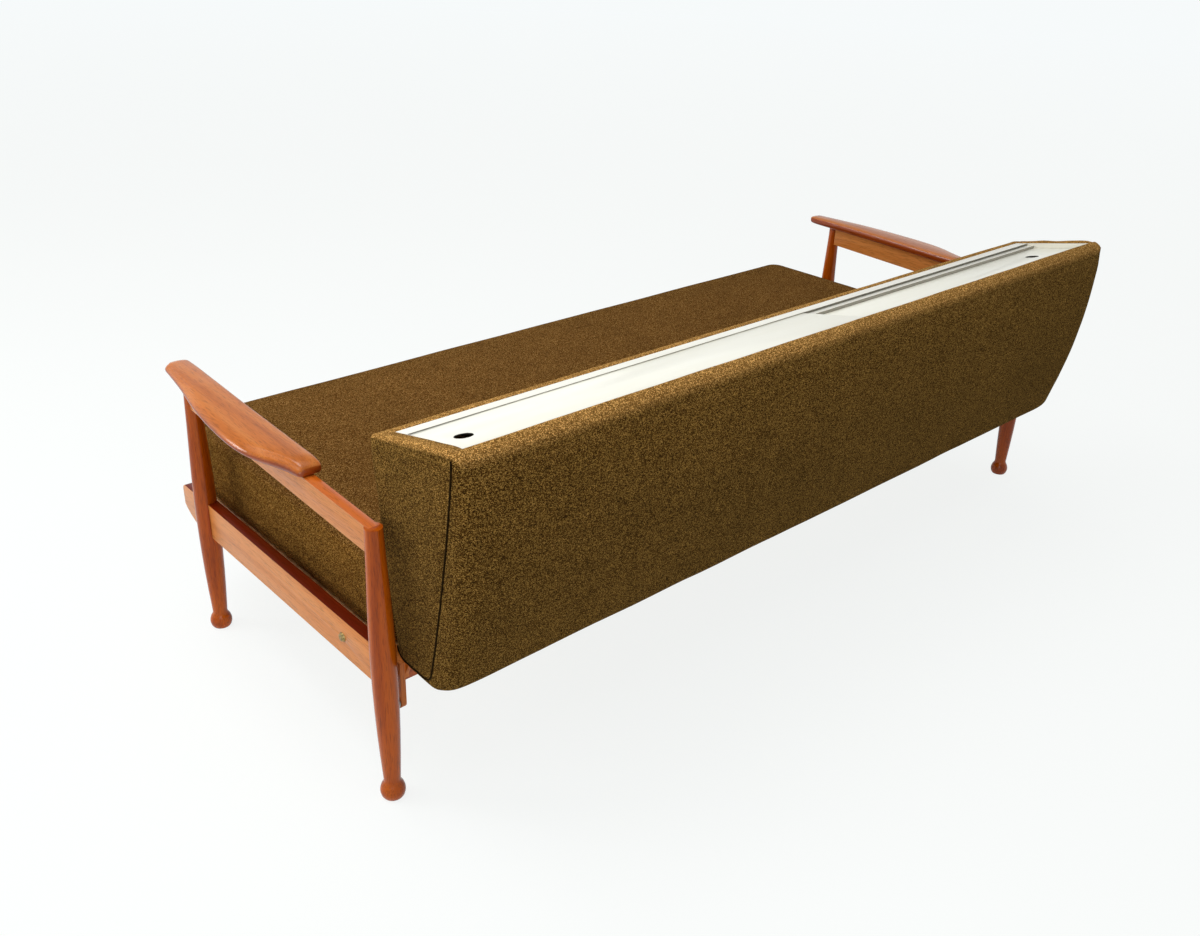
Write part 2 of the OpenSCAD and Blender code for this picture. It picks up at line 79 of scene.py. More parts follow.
class Nodes:
    """Short calls for the nodes of one tree."""

    def __init__(self, tree):
        self.tree = tree

    def link(self, a, b):
        self.tree.links.new(a, b)

    def node(self, kind, inputs=(), **props):
        """New node; inputs holds a value or another node's socket for each of its sockets."""
        n = self.tree.nodes.new("ShaderNode" + kind)
        for key, value in props.items():
            setattr(n, key, value)
        for key, value in dict(inputs).items():
            if isinstance(value, bpy.types.NodeSocket):
                self.link(value, n.inputs[key])
            else:
                n.inputs[key].default_value = value
        return n

    def coords(self, scale=(1, 1, 1), shift=(0, 0, 0)):
        """Place on the object in metres, scaled and shifted."""
        place = self.node("TexCoord").outputs["Object"]
        return self.node("Mapping", {"Vector": place, "Scale": scale, "Location": shift}).outputs[0]

    def noise(self, vector, scale, detail=2.0, rough=0.5, distort=0.0):
        return self.node("TexNoise", {"Vector": vector, "Scale": scale, "Detail": detail, "Roughness": rough,
                                      "Distortion": distort}).outputs["Fac"]

    def map_range(self, value, **limits):
        """Map Range node; from_min, to_max and so on name its sockets."""
        sockets = {key.replace("_", " ").title(): limit for key, limit in limits.items()}
        return self.node("MapRange", {"Value": value, **sockets}).outputs[0]

    def ramp(self, fac, stops):
        """Colour ramp; a stop is a place and a colour or a grey."""
        n = self.node("ValToRGB", {"Fac": fac})
        el = n.color_ramp.elements
        while len(el) < len(stops):
            el.new(0.5)
        for e, (place, colour) in zip(el, stops):
            e.position = place
            e.color = colour if hasattr(colour, "__len__") else (colour, colour, colour, 1)
        return n.outputs["Color"]

    def mix(self, fac, a, b, blend="MIX"):
        # sockets 0, 6, 7 and 2 are the factor, the two colours and the result
        return self.node("Mix", {0: fac, 6: a, 7: b}, data_type="RGBA", blend_type=blend).outputs[2]

    def math(self, op, a, b):
        return self.node("Math", {0: a, 1: b}, operation=op).outputs[0]

    def weighted(self, *parts):
        """Sum of values, each times its weight."""
        total = None
        for value, weight in parts:
            part = self.math("MULTIPLY", value, weight)
            total = part if total is None else self.math("ADD", total, part)
        return total

    def facing_up(self, low, high):
        """0 to 1 as the upward part of a face's own direction goes from low to high."""
        way = self.node("SeparateXYZ", {"Vector": self.node("TexCoord").outputs["Normal"]})
        return self.map_range(way.outputs["Z"], from_min=low, from_max=high)

    def seen(self):
        """1 for the rays that show a surface or the background itself: camera, glossy and clear ones."""
        rays = self.node("LightPath").outputs
        shown = self.math("MAXIMUM", rays["Is Camera Ray"], rays["Is Glossy Ray"])
        return self.math("MAXIMUM", shown, rays["Is Transmission Ray"])


class Shader(Nodes):
    """A material with one Principled shader."""

    def __init__(self, name, **sockets):
        self.mat = bpy.data.materials.new(name)
        self.mat.use_nodes = True
        super().__init__(self.mat.node_tree)
        self.tree.nodes.clear()
        self.out = self.tree.nodes.new("ShaderNodeOutputMaterial")
        self.bsdf = self.tree.nodes.new("ShaderNodeBsdfPrincipled")
        self.link(self.bsdf.outputs[0], self.out.inputs[0])
        for key, value in sockets.items():
            self.bsdf.inputs[key.replace("_", " ")].default_value = value

    def colour(self, socket):
        self.link(socket, self.bsdf.inputs["Base Color"])

    def roughness(self, socket, low, high):
        self.link(self.map_range(socket, to_min=low, to_max=high), self.bsdf.inputs["Roughness"])

    def bump(self, height, strength, distance):
        n = self.node("Bump", {"Height": height, "Strength": strength, "Distance": distance})
        self.link(n.outputs[0], self.bsdf.inputs["Normal"])


def wood(name, along, tones, low=0.30, high=0.44, gloss=0.5, shift=0.0, top=None, painted_side_shade=None):
    """Oiled teak with its grain along one axis.

    tones are its dark, middle and light colour, low and high the limits of its roughness; shift moves the
    grain; top darkens the faces that look up and the last tint darkens those that don't, both as painted
    shade.
    """
    dark, mid, light = tones
    s = Shader(name, Specular_IOR_Level=gloss)
    # the grain is drawn out along its axis
    stretch = [1.0, 1.0, 1.0]
    stretch["xyz".index(along)] = 0.045
    co = s.coords(stretch, (shift, shift * 1.7, shift * 0.6))
    streak = s.noise(co, 55.0, detail=5.0, rough=0.62, distort=0.6)
    fine = s.noise(co, 420.0, detail=3.0, rough=0.6)
    band = s.node("TexWave", {"Vector": co, "Scale": 15.0, "Distortion": 7.0, "Detail": 3.0,
                              "Detail Scale": 1.6, "Detail Roughness": 0.6},
                  bands_direction="DIAGONAL", wave_profile="SIN").outputs["Fac"]
    slow = s.noise(s.coords(shift=(shift, 0, shift)), 4.5)
    grain = s.weighted((streak, 0.62), (band, 0.22), (fine, 0.20))
    base = s.ramp(grain, [(0.30, dark), (0.52, mid), (0.78, light)])
    base = s.mix(s.math("MULTIPLY", slow, 0.35), base, mid)
    # painted shade: the faces that look up are darkened by top
    if top is not None:
        base = s.mix(s.facing_up(0.55, 0.9), base, s.mix(1.0, base, top, "MULTIPLY"))
    # painted shade: the sides and under side are darkened by the last tint
    if painted_side_shade is not None:
        base = s.mix(s.facing_up(0.66, 0.2), base, s.mix(1.0, base, painted_side_shade, "MULTIPLY"))
    pores = s.ramp(s.noise(co, 780.0), [(0.34, 0.45), (0.46, 1.0)])
    s.colour(s.mix(0.6, base, pores, "MULTIPLY"))
    s.roughness(streak, low, high)
    s.bump(s.math("ADD", fine, s.math("MULTIPLY", streak, 0.6)), strength=0.16, distance=0.0006)
    return s.mat


def tweed(name, tones, painted_top_light=1.0, top_speckle=1.0, sheen=0.08, low=1.0):
    """Speckled woollen tweed in rows of picks.

    tones are its dark, middle and gold yarn. Faces that look up get painted light, a tint by a factor, and
    keep a share of the speckle; what lies low on the sofa is darker by low, as painted shade.
    """
    dark, mid, gold = tones
    s = Shader(name, Roughness=0.95, Sheen_Weight=sheen, Sheen_Roughness=0.4, Specular_IOR_Level=0.0,
               Sheen_Tint=(1.0, 0.72, 0.30, 1.0))
    # picks per metre in x, y and z, then the threads across and along them
    rows = s.coords((740, 740, 980))
    nubs = s.node("TexVoronoi", {"Vector": rows, "Scale": 1.0, "Randomness": 0.5}, feature="F1")
    picks = s.node("SeparateColor", {"Color": nubs.outputs["Color"]}).outputs
    thread = s.noise(s.coords((34, 34, 420)), 1.0)
    warp = s.noise(s.coords((300, 300, 22)), 1.0)
    tone = s.weighted((picks[0], 0.8), (thread, 0.14), (warp, 0.12))
    yarn = s.ramp(tone, [(0.2, dark), (0.45, mid), (0.62, mid), (0.9, gold)])
    slow = s.ramp(s.noise(s.coords(), 7.0, detail=3.0, rough=0.55), [(0.3, 0.9), (0.7, 1.07)])
    yarn = s.mix(1.0, yarn, slow, "MULTIPLY")
    # painted light: the faces that look up get a tint, much lighter and bluer on the covers, slightly darker
    # on the mattress
    painted_lit_top = s.mix(1.0, s.mix(top_speckle, mid, yarn), (painted_top_light, painted_top_light * 1.03, painted_top_light * 1.34, 1), "MULTIPLY")
    # painted shade: the faces that don't look up get darker towards the bottom of the sofa, by low
    height = s.node("SeparateXYZ", {"Vector": s.coords()}).outputs["Z"]
    shade = s.map_range(height, from_min=0.46, from_max=0.62, to_min=low)
    grey = s.node("CombineColor", {0: shade, 1: shade, 2: shade}).outputs[0]
    s.colour(s.mix(s.facing_up(0.1, 0.7), s.mix(1.0, yarn, grey, "MULTIPLY"), painted_lit_top))
    relief = s.math("SUBTRACT", s.math("ADD", thread, picks[1]), nubs.outputs["Distance"])
    s.bump(relief, strength=0.5, distance=0.0009)
    return s.mat


def laminate(name, colour, marks, edge):
    """White-faced board, slightly uneven; faces that don't look up take the edge colour, as painted shade
    where it is dark.
    """
    s = Shader(name, Coat_Weight=0.15, Coat_Roughness=0.25)
    co = s.coords()
    smear = s.noise(s.coords((0.25, 1, 1)), 16.0, detail=4.0, rough=0.6)
    face = s.mix(s.ramp(smear, [(0.45, 0.0), (0.85, 0.7)]), colour, marks)
    # painted shade: faces that don't look up take the edge colour, near black on the lids and grey on the
    # tracks, for their grooves and slots
    s.colour(s.mix(s.facing_up(0.62, 0.45), face, edge))
    s.roughness(s.noise(co, 60.0, detail=3.0), 0.30, 0.42)
    s.bump(s.noise(co, 260.0), strength=0.05, distance=0.0005)
    return s.mat


def metal(name, colour, stain, low, high):
    """Turned or rolled metal with darker stains; low and high are the limits of its roughness."""
    s = Shader(name, Metallic=1.0)
    co = s.coords()
    spots = s.ramp(s.noise(co, 320.0, detail=4.0, rough=0.65), [(0.42, 0.0), (0.68, 0.6)])
    s.colour(s.mix(spots, colour, stain))
    s.roughness(s.noise(co, 500.0, detail=3.0), low, high)
    s.bump(s.noise(s.coords((1, 1, 8)), 700.0), strength=0.12, distance=0.0003)
    return s.mat


RAIL = (srgb(196, 116, 48), srgb(213, 133, 66), srgb(220, 144, 76))
LEG = (srgb(136, 52, 2), srgb(176, 78, 6), srgb(196, 98, 14))
ARM = (srgb(166, 84, 22), srgb(198, 110, 40), srgb(212, 130, 60))
RED = (srgb(124, 46, 2), srgb(172, 76, 6), srgb(196, 98, 16))
RAW = (srgb(150, 104, 58), srgb(190, 144, 92), srgb(214, 172, 120))
TEAK = {
    # the rails' top tints are painted shade on their tops; the armrests' last tint is painted shade on their
    # sides and under side
    "rail": wood("teak_lower_rails", "y", RAIL, low=0.24, high=0.36, gloss=0.3, shift=0.3,
                 top=(0.22, 0.04, 0.004, 1)),
    "upper": wood("teak_upper_rails", "y", RAIL, low=0.16, high=0.28, gloss=0.35, shift=0.7,
                  top=(0.9, 0.55, 0.2, 1)),
    "leg": wood("teak_legs", "z", LEG, low=0.14, high=0.26, gloss=0.24, shift=1.1),
    "arm": wood("teak_armrests", "y", ARM, low=0.13, high=0.25, gloss=0.4, shift=2.3,
                painted_side_shade=(0.6, 0.36, 0.24, 1)),
    "cross": wood("teak_cross_rails", "x", RED, gloss=0.35, shift=3.1),
    "hanger": wood("teak_hangers", "z", ARM, low=0.4, high=0.55, gloss=0.3, shift=4.7),
}
BOARD = {
    "x": wood("board_lengthwise", "x", RAW, low=0.5, high=0.65, gloss=0.3, shift=5.5),
    "z": wood("board_upright", "z", RAW, low=0.5, high=0.65, gloss=0.3, shift=6.5),
}
# painted light on the tops of the covers and the mattress, and painted shade low on the covers
TWEED = tweed("tweed_covers", (srgb(26, 15, 4), srgb(86, 59, 22), srgb(180, 138, 70)),
              painted_top_light=3.15, top_speckle=0.6, low=0.86)
TICKING = tweed("tweed_mattress", (srgb(38, 23, 7), srgb(103, 67, 24), srgb(190, 142, 70)),
                painted_top_light=0.95, top_speckle=0.75, sheen=0.04)
# the seams' thread is dark yarn, darkened further as painted shade in the seam's valley
SEAM_THREAD_AND_SHADE = tweed("tweed_seams", (srgb(14, 9, 3), srgb(30, 19, 6), srgb(50, 34, 14)))
# the lids' near-black and the tracks' grey edge colours are painted shade in their grooves and slots
WHITE = laminate("white_laminate_lids", srgb(254, 252, 238), srgb(245, 241, 222), srgb(30, 26, 20))
PAINT = laminate("white_trim", srgb(252, 250, 238), srgb(240, 236, 220), srgb(232, 228, 214))
TRACK = laminate("white_tracks", srgb(252, 250, 238), srgb(240, 236, 220), srgb(162, 156, 142))
BRASS = metal("brass_worn", srgb(160, 140, 92), srgb(62, 50, 28), 0.26, 0.42)
STEEL = metal("steel_plain", srgb(150, 149, 148), srgb(92, 84, 76), 0.32, 0.5)


# the box section, from the part's source
def unit(v):
    return v / np.linalg.norm(v)


def left(p, q):
    """Unit vector to the left of the way from p to q."""
    d = unit(q - p)
    return np.array([-d[1], d[0]])


def shifted(p, q, d):
    """The line from p to q moved to its left by d."""
    return p + d * left(p, q), q + d * left(p, q)


def meet(a, b):
    """Point where two lines meet, each given by two points."""
    (p, q), (r, s) = a, b
    u, v, w = q - p, s - r, r - p
    return p + u * (w[0] * v[1] - w[1] * v[0]) / (u[0] * v[1] - u[1] * v[0])


def at(u, w):
    """Point of the box section: u along its top from the front, w above it."""
    c, s = math.cos(TOP_SLOPE), math.sin(TOP_SLOPE)
    return np.array([TOP_Y + u * c - w * s, TOP_Z + u * s + w * c])


# corners of the section: front top, front bottom, rear bottom, rear top
CORNER_A = at(0, 0)
CORNER_F = np.array([LOW_Y, LOW_Z])
CORNER_G = np.array([LOW_REAR_Y, LOW_Z])
CORNER_B = at(TOP_WIDE, 0)
# a point well inside the section
CENTRE = np.array([345.0, 470.0])


def ring(df, db, dr, dt):
    """The corners after the front, bottom, rear and top are moved inwards by df, db, dr and dt."""
    f = shifted(CORNER_A, CORNER_F, df)
    b = shifted(CORNER_F, CORNER_G, db)
    r = shifted(CORNER_G, CORNER_B, dr)
    t = shifted(CORNER_B, CORNER_A, dt)
    return [meet(t, f), meet(f, b), meet(b, r), meet(r, t)]


def arc(p, q, s, r, share):
    """Points at the given shares of an arc of radius r in the corner p-q-s."""
    a, b = unit(p - q), unit(s - q)
    half = math.acos(a @ b) / 2
    t = r / math.tan(half)
    c = q + unit(a + b) * r / math.sin(half)
    v0, v1 = q + a * t - c, q + b * t - c
    a0 = math.atan2(v0[1], v0[0])
    turn = (math.atan2(v1[1], v1[0]) - a0 + 3 * math.pi) % (2 * math.pi) - math.pi
    ang = a0 + turn * np.asarray(share)
    return c + r * np.column_stack([np.cos(ang), np.sin(ang)])


# The rear and bottom line runs from the front bottom edge to the crest. A place on it counts the source's
# points; these are the ends of its front bottom corner, bottom, rear bottom corner, rear and crest.
SEAM_END, BOTTOM_END, HEEL_END, REAR_END, CREST_END = 4, 5, 9, 17, 21
# ends and number of places on each of them, more than the source has
STRETCHES = ((0, SEAM_END, 9), (SEAM_END, BOTTOM_END, 9), (BOTTOM_END, HEEL_END, 9),
             (HEEL_END, REAR_END, 29), (REAR_END, CREST_END, 11))
LINE_T = np.concatenate([[0.0]] + [np.linspace(*stretch)[1:] for stretch in STRETCHES])


def back_line(k, rf, rg, rb, swell):
    """Points of the rear and bottom line at LINE_T.

    k are the corners of its section, rf, rg and rb the radii of the front bottom, rear bottom and crest
    corners, swell the bulge of the rear.
    """
    f = arc(k[0], k[1], k[2], rf, [0, 1])
    g = arc(k[1], k[2], k[3], rg, [0, 1])
    b = arc(k[2], k[3], k[0], rb, [0, 1])
    out = np.empty((len(LINE_T), 2))
    for i, v in enumerate(LINE_T):
        if v <= SEAM_END:
            out[i] = arc(k[0], k[1], k[2], rf, [v / SEAM_END])[0]
        elif v <= BOTTOM_END:
            out[i] = f[1] + (g[0] - f[1]) * (v - SEAM_END)
        elif v <= HEEL_END:
            out[i] = arc(k[1], k[2], k[3], rg, [(v - BOTTOM_END) / (HEEL_END - BOTTOM_END)])[0]
        elif v <= REAR_END:
            n = (v - HEEL_END) / (REAR_END - HEEL_END)
            out[i] = g[1] + (b[0] - g[1]) * n - left(g[1], b[0]) * 4 * swell * n * (1 - n)
        else:
            out[i] = arc(k[2], k[3], k[0], rb, [(v - REAR_END) / (CREST_END - REAR_END)])[0]
    return out


def spline(a, b, c, d, f):
    """Catmull-Rom through a, b, c and d, at the fraction f between b and c."""
    square, cube = 2 * a - 5 * b + 4 * c - d, 3 * b - a - 3 * c + d
    return 0.5 * (2 * b + (c - a) * f + square * f ** 2 + cube * f ** 3)


def smooth_path(values, t):
    """Open curve through rows of values at 0, 1, 2 and so on."""
    v = np.vstack([2 * values[0] - values[1], values, 2 * values[-1] - values[-2]])
    k = np.clip(np.floor(t).astype(int), 0, len(values) - 2)
    return spline(v[k], v[k + 1], v[k + 2], v[k + 3], (t - k)[:, None])


def closed_path(values, per):
    """Closed curve through rows of values, with per points from each one to the next."""
    n = len(values)
    k = np.repeat(np.arange(n), per)
    f = np.tile(np.arange(per) / per, n)[:, None]
    return spline(values[(k - 1) % n], values[k], values[(k + 1) % n], values[(k + 2) % n], f)


# how far the padding moves each of the source's points to the rear and up
PADS = np.array([[0, 0], [0, -2], [1, -5], [3, -8], [6, -11], [22, -16], [32, -12], [40, -7], [45, -2],
                 [47, 2], [47, 1], [47, 0], [46.5, 0], [43.5, 0], [39.5, 0], [34.5, 0], [26.5, 0],
                 [14.5, -6], [10, -3.5], [6, -2], [2.5, -1], [0, 0]], float)
PADDING = smooth_path(PADS, LINE_T)
# outer and inner face of the rear and bottom cover, and the corners inside the covers
OUTER = back_line(ring(0, 0, 0, 0), SEAM_ROUND, HEEL_ROUND, CREST_ROUND, SWELL)
CORE = ring(COVER, WRAP, WRAP, COVER)
INNER = back_line(CORE, SEAM_INNER, HEEL_ROUND - WRAP, CREST_INNER, 0)
# middle of the crest's arc, how far its corner is drawn in at the ends, and how wide that reaches
CREST = OUTER[-6]
CREST_DROP = 5.5
CREST_REACH = 17


def sunk(points, amount):
    """Section points with the crest's corner drawn in towards the box by an amount."""
    away = np.linalg.norm(points - CREST, axis=1)
    return points + unit(CENTRE - CREST) * (amount * np.exp(-(away / CREST_REACH) ** 2))[:, None]


# meshes
def build(name, points, faces, mat, smooth=True):
    """Mesh object from points in millimetres."""
    mesh = bpy.data.meshes.new(name)
    mesh.from_pydata([tuple(p * MM) for p in np.asarray(points, float)], [], [tuple(f) for f in faces])
    mesh.validate()
    mesh.update()
    obj = bpy.data.objects.new(name, mesh)
    bpy.context.scene.collection.objects.link(obj)
    mesh.materials.append(mat)
    mesh.polygons.foreach_set("use_smooth", [smooth] * len(mesh.polygons))
    return obj


def loft_faces(m, n, caps=True):
    """Quads between n rings of m points, first ring first."""
    faces = [(j * m + i, j * m + (i + 1) % m, (j + 1) * m + (i + 1) % m, (j + 1) * m + i)
             for j in range(n - 1) for i in range(m)]
    if caps:
        faces += [tuple(range(m - 1, -1, -1)), tuple((n - 1) * m + i for i in range(m))]
    return faces


def outward(obj):
    """Turns the faces of a closed mesh outwards."""
    bm = bmesh.new()
    bm.from_mesh(obj.data)
    bmesh.ops.recalc_face_normals(bm, faces=bm.faces)
    bm.to_mesh(obj.data)
    bm.free()


def wave(x, y, z, size, seed):
    """Smooth noise of about -1 to 1 with features of a size in millimetres."""
    place = Vector((x / size + seed * 7.3, y / size + seed * 3.1, z / size - seed * 5.7))
    return noise.noise(place) * 1.6


def side_name(side):
    return "left" if side > 0 else "right"


def dress(obj, body, slot, *nodes):
    """Turns a piece's faces outwards and says which body it rides and the nodes it replaces; slot is not
    used.
    """
    outward(obj)
    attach(obj, body)
    if nodes:
        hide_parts(*nodes)


# covers of the box: distances of the rings from an end, closer together near it, and their places
END_STEPS = np.array([0, .8, 2, 4, 6.5, 9.5, 13, 17, 22, 28, 35, 43, 52, 62, 75, 92, 115, 145, 180])
HALF_STEPS = np.concatenate([END_STEPS, np.linspace(215, BOX_IN, 17)])
PLACES = np.concatenate([HALF_STEPS - BOX_IN, (BOX_IN - HALF_STEPS)[::-1][1:]])
# the rear cover runs on to the seams
SEAM_X = 941.6
SEAM_STEPS = np.array([0, 0.8, 2.2, 4.4])
REAR_PLACES = np.concatenate([SEAM_STEPS - SEAM_X, PLACES, (SEAM_X - SEAM_STEPS)[::-1]])
# millimetres along the rear and bottom line that one of the source's points stands for in the waves
LINE_STEP = 22


def rear_upholstery():
    """Rear and bottom cover: full in the middle, drawn in and puckered at the seams."""
    rim_rise, rim_points = 1.6, 9
    # last points of the outer face, around the rim's inner edge: back from it, height, share of the rise
    rim_edge = ((0.6, -0.2, 0.95), (1.5, -0.9, 0.6), (1.7, -1.9, 0.2), (0, -COVER, 0))
    up = np.array([-math.sin(TOP_SLOPE), math.cos(TOP_SLOPE)])
    points = []
    for x in REAR_PLACES:
        # the padding thins towards the seam, most of all in its last millimetres
        d = SEAM_X - abs(x)
        share = 1 - 0.5 * math.exp(-d / 2.4) - 0.5 * math.exp(-d / 14)
        outer = OUTER + PADDING * share
        for i, v in enumerate(LINE_T):
            normal = unit(PADDING[i] + [0.01, 0]) if v < REAR_END + 1 else up
            along = v * LINE_STEP
            free = share * math.sin(math.pi * v / CREST_END)
            # wide slack waves, and short puckers beside the seam
            swell = 1.6 * wave(x, along, 0, 210, 1) + 0.7 * wave(x, along, 0, 80, 2)
            pucker = 1.1 * math.exp(-d / 26) * (1 - math.exp(-d / 3))
            pucker *= wave(d * 0.25, along, np.sign(x) * 40, 17, 3) * min(v, CREST_END - v, 3) / 3
            outer[i] = outer[i] + normal * (free * swell + pucker)
        rise = rim_rise * share + 0.7 * wave(x, 0, 0, 120, 4) * min(d / 20, 1)
        outer[-rim_points:] += up * rise * np.linspace(0, 1, rim_points)[:, None] ** 0.7
        rim = np.array([at(RIM_U - back, w) + up * rise * k for back, w, k in rim_edge])
        outer = sunk(np.vstack([outer, rim]), CREST_DROP * max(0, 1 - d / 20) ** 2)
        points += [(x, y, z) for y, z in np.vstack([outer, INNER[::-1]])]
    size = len(points) // len(REAR_PLACES)
    obj = build("upholstery_rear", points, loft_faces(size, len(REAR_PLACES)), TWEED)
    dress(obj, "back_box", "tweed", "rear_cover")


def front_upholstery():
    """Front cover: rolled over the front top edge, slightly full below it."""
    bulge = 3.4
    top = at(FRONT_U, 0)
    # around the inner edge of the rim, over the rim and its front corner, down the front, and back inside
    line = [at(FRONT_U, -COVER), at(FRONT_U, -2.5), at(FRONT_U - .6, -.8), at(FRONT_U - 2.4, 0)]
    edge_points = len(line)
    line += [at(u, .5) for u in (23, 19, 15, 12)]
    line += list(arc(top, CORNER_A, OUTER[0], 9.5, np.linspace(0, 1, 9)))
    start = line[-1]
    for n in np.linspace(0, 1, 24)[1:]:
        p = start + (OUTER[0] - start) * n
        line.append(p + left(start, OUTER[0]) * -bulge * math.sin(math.pi * n) ** 0.8)
    line = np.array(line + [INNER[0], CORE[0]])
    # the last point of the front and the two inside stay where they are
    free = slice(edge_points, -3)
    points = []
    for x in PLACES:
        soft = 1 - math.exp(-(BOX_IN - abs(x)) / 9)
        row = line.copy()
        row[free, 1] += [soft * 0.7 * wave(x, i * 9, 0, 130, 5) for i in range(len(row[free]))]
        points += [(x, y, z) for y, z in row]
    obj = build("upholstery_front", points, loft_faces(len(line), len(PLACES)), TWEED)
    dress(obj, "back_box", "tweed", "front_cover")


def end_outline():
    """Outline of an end from the front top corner down and round, and which points are on its top flap."""
    line = list(arc(CORNER_B, CORNER_A, CORNER_F, 9, np.linspace(0, 1, 8)))
    # down the front, to a little above the seam's corner
    down = [CORNER_A + (CORNER_F - CORNER_A) * n for n in np.linspace(0.05, 0.92, 26)]
    line += [p for p in down if (p - OUTER[0])[1] > 4]
    line += list(OUTER)
    before = len(line)
    # the flap's places along the top, closer together where its inner edge curves
    flap = np.concatenate([np.linspace(RIM_U - 0.3, 198, 16), np.linspace(190, 32, 28), [FRONT_U + 0.4]])
    line += [at(u, 0) for u in flap]
    after = len(line)
    line += [at(u, 0) for u in (FRONT_U - 0.6, 24, 18, 13)]
    number = np.arange(len(line))
    return np.array(line), (number >= before) & (number < after)


def end_upholstery(side):
    """End cover: rolled edges, a flap over the end panel's top and a face that is slightly full."""
    line, flap = end_outline()
    line = sunk(line, CREST_DROP)
    m = len(line)
    tangent = np.roll(line, -1, 0) - np.roll(line, 1, 0)
    inwards = np.column_stack([-tangent[:, 1], tangent[:, 0]])
    inwards /= np.linalg.norm(inwards, axis=1)[:, None]
    if np.sum((CENTRE - line) * inwards) < 0:
        inwards = -inwards
    # the flap's inner edge runs along the end panel and curves back before the rear cover's rim
    along = (line - CORNER_A) @ np.array([math.cos(TOP_SLOPE), math.sin(TOP_SLOPE)])
    fillet = 17.0
    near = np.clip(along - (RIM_U - fillet), 0, fillet - 0.01)
    reach = PANEL_IN - np.where(flap, fillet - np.sqrt(fillet ** 2 - near ** 2), 0)
    # the edge is rounder on the flap and high at the front, where this is 1
    low_z, rise_z, front_y = 600, 60, 300
    front = np.clip((line[:, 1] - low_z) / rise_z, 0, 1) * np.where(flap | (line[:, 0] < front_y), 1, 0)
    radius = 2.6 + 6.2 * front
    # how deep the face starts inside the edge, and how full it is in the middle
    under_edge, fullness = 0.7, 1.5
    seed = 8 + side
    # the right end is a little slacker than the left one
    slack = 0 if side > 0 else 1.1
    lift = np.array([1.0 + slack + (0.9 + slack) * wave(y, z, side * 30, 46, seed) if on_flap else 0
                     for (y, z), on_flap in zip(line, flap)])
    # rings as distance from the middle and depth under the outline: inner face, under side, inner edge ...
    inner = np.where(flap, PANEL_IN, BOX_IN)
    rows = [(inner, np.full(m, COVER)), (inner, np.full(m, 1.6)),
            (np.where(flap, reach, BOX_IN), 0.6 - 0.5 * lift)]
    # ... and the rolled edge
    for step in (0.02, 0.15, 0.32, 0.5, 0.68, 0.85, 1.0):
        a = step * math.pi / 2
        depth = radius * (1 - math.cos(a)) - lift * (1 - step) + under_edge * (1 - front)
        rows.append((BOX_HALF - radius + radius * math.sin(a), depth))
    points = [(side * x[i], *(line[i] + inwards[i] * depth[i])) for x, depth in rows for i in range(m)]
    # the outer face, in rings that shrink to its middle
    for share in (0.06, 0.14, 0.26, 0.42, 0.6, 0.8):
        for i in range(m):
            q = line[i] + inwards[i] * (radius[i] + under_edge)
            q = q + (CENTRE - q) * share
            full = fullness - 0.9 * math.exp(-share * 20) + 0.25 * wave(q[0], q[1], 0, 90, seed)
            points.append((side * (BOX_HALF + full), q[0], q[1]))
    rings = len(points) // m
    points.append((side * (BOX_HALF + fullness), *CENTRE))
    faces = loft_faces(m, rings, caps=False)
    faces += [((rings - 1) * m + i, (rings - 1) * m + (i + 1) % m, rings * m) for i in range(m)]
    faces.append(tuple(range(m)))
    obj = build("upholstery_end_" + side_name(side), points, faces, TWEED)
    dress(obj, "back_box", "tweed", "end_cover_" + side_name(side))


def tube(name, path, r, mat):
    """Tube of radius r along points in millimetres."""
    sides = 8
    path = np.asarray(path, float)
    points = []
    for i, p in enumerate(path):
        d = unit(path[min(i + 1, len(path) - 1)] - path[max(i - 1, 0)])
        a = unit(np.cross(d, [1.0, 0.0, 0.0]))
        b = np.cross(d, a)
        turns = np.arange(sides) * 2 * math.pi / sides
        points += [p + r * (math.cos(t) * a + math.sin(t) * b) for t in turns]
    return build(name, points, loft_faces(sides, len(path)), mat)


def seam(side):
    """Dark seam between the rear cover and an end cover, from the front bottom edge to the crest; the tube is
    a thread, darkened as painted shade in the seam's valley.
    """
    along_bottom, along_rear = 3.2, 1.1
    path = []
    for v, p in zip(LINE_T, sunk(OUTER, CREST_DROP)):
        if v < REAR_END + 0.5:
            wander = 0.5 * wave(p[0], p[1], side * 9, 24, 16)
            q = p + unit(CENTRE - p) * ((along_bottom if v < HEEL_END else along_rear) + wander)
            path.append((side * (BOX_HALF - 0.1), q[0], q[1]))
    dress(tube("seam_" + side_name(side), path, 1.8, SEAM_THREAD_AND_SHADE), "back_box", "tweed")


# mattress, ring by ring: distance in from its outline, share of its height, share of its crown
MATTRESS_RINGS = ((60, 0, 0), (30, 0, 0), (14, 0.006, 0), (7, 0.022, 0), (3, 0.051, 0), (0.8, 0.09, 0),
                  (0, 0.13, 0), (0.6, 0.2, 0), (2, 0.37, 0), (2.6, 0.5, 0), (2, 0.66, 0), (0.6, 0.8, 0),
                  (0, 0.88, 0), (0.9, 0.918, 0), (2.5, 0.945, 0), (5, 0.968, 0), (8, 0.982, 0),
                  (12.5, 0.993, 0), (18, 1, 0.02), (27, 1, 0.1), (40, 1, 0.2), (60, 1, 0.33), (90, 1, 0.5),
                  (125, 1, 0.66), (160, 1, 0.78), (205, 1, 0.88), (250, 1, 0.95), (290, 1, 1),
                  (330, 1, 1.02), (372, 1, 1.03))
MATTRESS_MIDDLE = (MATTRESS_FRONT + MATTRESS_REAR) / 2
MATTRESS_DEEP = (MATTRESS_REAR - MATTRESS_FRONT) / 2


